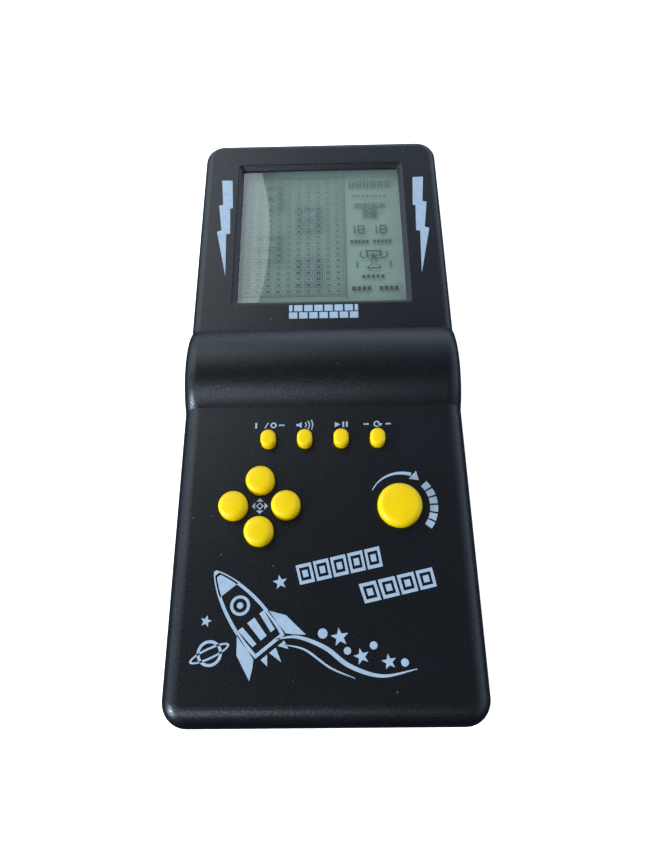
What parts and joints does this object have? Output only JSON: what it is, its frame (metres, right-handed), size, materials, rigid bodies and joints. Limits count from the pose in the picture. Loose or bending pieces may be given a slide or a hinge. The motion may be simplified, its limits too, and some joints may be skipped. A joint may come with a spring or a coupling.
{
  "type": "handheld lcd game",
  "caption": "Handheld LCD block game: black moulded case with a raised hump, window, round direction keys, rotate key and function keys, and a battery door.",
  "frame": {"origin": "centre of the flat back, at the height of the surface that it lies on", "axes": "+Z out of the keypad face, +Y towards the screen end, +X to the player's right"},
  "size_m": [0.08, 0.185, 0.0265],
  "materials": {
    "case_black": "fine spark-eroded texture",
    "lens": "clear gloss acrylic",
    "polariser": "grey-green film",
    "display_glass": "thin clear glass",
    "reflector": "grey-green diffuse film",
    "carrier": "natural moulding",
    "zebra": "conductive silicone",
    "board": "paper laminate",
    "carbon": "printed carbon",
    "resin": "black epoxy",
    "resistor": "lacquered",
    "capacitor": "sleeved",
    "ribbon": "grey sleeve",
    "membrane": "silicone",
    "brass": "rolled sheet",
    "ceramic": "silvered ceramic",
    "sleeve_black": "wire sleeve",
    "sleeve_red": "wire sleeve",
    "nickel": "nickel-plated steel",
    "cell": "plain printed jacket",
    "screw_steel": "zinc-plated",
    "key_yellow": "satin",
    "pill": "carbon-filled silicone"
  },
  "bodies": {
    "case": {"front_shell": "case_black", "rear_shell": "case_black", "window_lens": "lens", "lcd_polariser": "polariser", "lcd_front_glass": "display_glass", "lcd_rear_glass": "display_glass", "lcd_reflector": "reflector", "lcd_carrier": "carrier", "zebra_strip_lower": "zebra", "zebra_strip_upper": "zebra", "lcd_board": "board", "key_board": "board", "key_contacts": "carbon", "chip_blob": "resin", "board_resistors": "resistor", "board_capacitors": "capacitor", "ribbon_cable": "ribbon", "keypad_membrane": "membrane", "buzzer_plate": "brass", "buzzer_ceramic": "ceramic", "buzzer_leads": "sleeve_black", "battery_lead_red": "sleeve_red", "battery_lead_black": "sleeve_black", "contact_plate_positive": "nickel", "contact_plate_negative": "nickel", "contact_plate_bridge": "nickel", "contact_spring_left": "nickel", "contact_spring_right": "nickel", "cell_lower": "cell", "cell_upper": "cell", "case_screws": "screw_steel", "lcd_board_screws": "nickel", "key_board_screws": "nickel"},
    "door": {"battery_door": "case_black"},
    "button_up": {"key_up": "key_yellow", "pill_up": "pill"},
    "button_down": {"key_down": "key_yellow", "pill_down": "pill"},
    "button_left": {"key_left": "key_yellow", "pill_left": "pill"},
    "button_right": {"key_right": "key_yellow", "pill_right": "pill"},
    "button_rotate": {"key_rotate": "key_yellow", "pill_rotate": "pill"},
    "button_power": {"key_power": "key_yellow", "pill_power": "pill"},
    "button_sound": {"key_sound": "key_yellow", "pill_sound": "pill"},
    "button_start": {"key_start": "key_yellow", "pill_start": "pill"},
    "button_reset": {"key_reset": "key_yellow", "pill_reset": "pill"}
  },
  "joints": [
    {"name": "up_press", "type": "slide", "parent": "case", "child": "button_up", "axis": [0, 0, -1], "range_m": [0, 0.0012], "stiffness_N_per_m": 300, "deforming": ["keypad_membrane"]},
    {"name": "down_press", "type": "slide", "parent": "case", "child": "button_down", "axis": [0, 0, -1], "range_m": [0, 0.0012], "stiffness_N_per_m": 300, "deforming": ["keypad_membrane"]},
    {"name": "left_press", "type": "slide", "parent": "case", "child": "button_left", "axis": [0, 0, -1], "range_m": [0, 0.0012], "stiffness_N_per_m": 300, "deforming": ["keypad_membrane"]},
    {"name": "right_press", "type": "slide", "parent": "case", "child": "button_right", "axis": [0, 0, -1], "range_m": [0, 0.0012], "stiffness_N_per_m": 300, "deforming": ["keypad_membrane"]},
    {"name": "rotate_press", "type": "slide", "parent": "case", "child": "button_rotate", "axis": [0, 0, -1], "range_m": [0, 0.0012], "stiffness_N_per_m": 300, "deforming": ["keypad_membrane"]},
    {"name": "power_press", "type": "slide", "parent": "case", "child": "button_power", "axis": [0, 0, -1], "range_m": [0, 0.0012], "stiffness_N_per_m": 300, "deforming": ["keypad_membrane"]},
    {"name": "sound_press", "type": "slide", "parent": "case", "child": "button_sound", "axis": [0, 0, -1], "range_m": [0, 0.0012], "stiffness_N_per_m": 300, "deforming": ["keypad_membrane"]},
    {"name": "start_press", "type": "slide", "parent": "case", "child": "button_start", "axis": [0, 0, -1], "range_m": [0, 0.0012], "stiffness_N_per_m": 300, "deforming": ["keypad_membrane"]},
    {"name": "reset_press", "type": "slide", "parent": "case", "child": "button_reset", "axis": [0, 0, -1], "range_m": [0, 0.0012], "stiffness_N_per_m": 300, "deforming": ["keypad_membrane"]},
    {"name": "door_hinge", "type": "hinge", "parent": "case", "child": "door", "pos_m": [0, 0.019, 0], "axis": [1, 0, 0], "range_deg": [0, 65]}
  ]
}
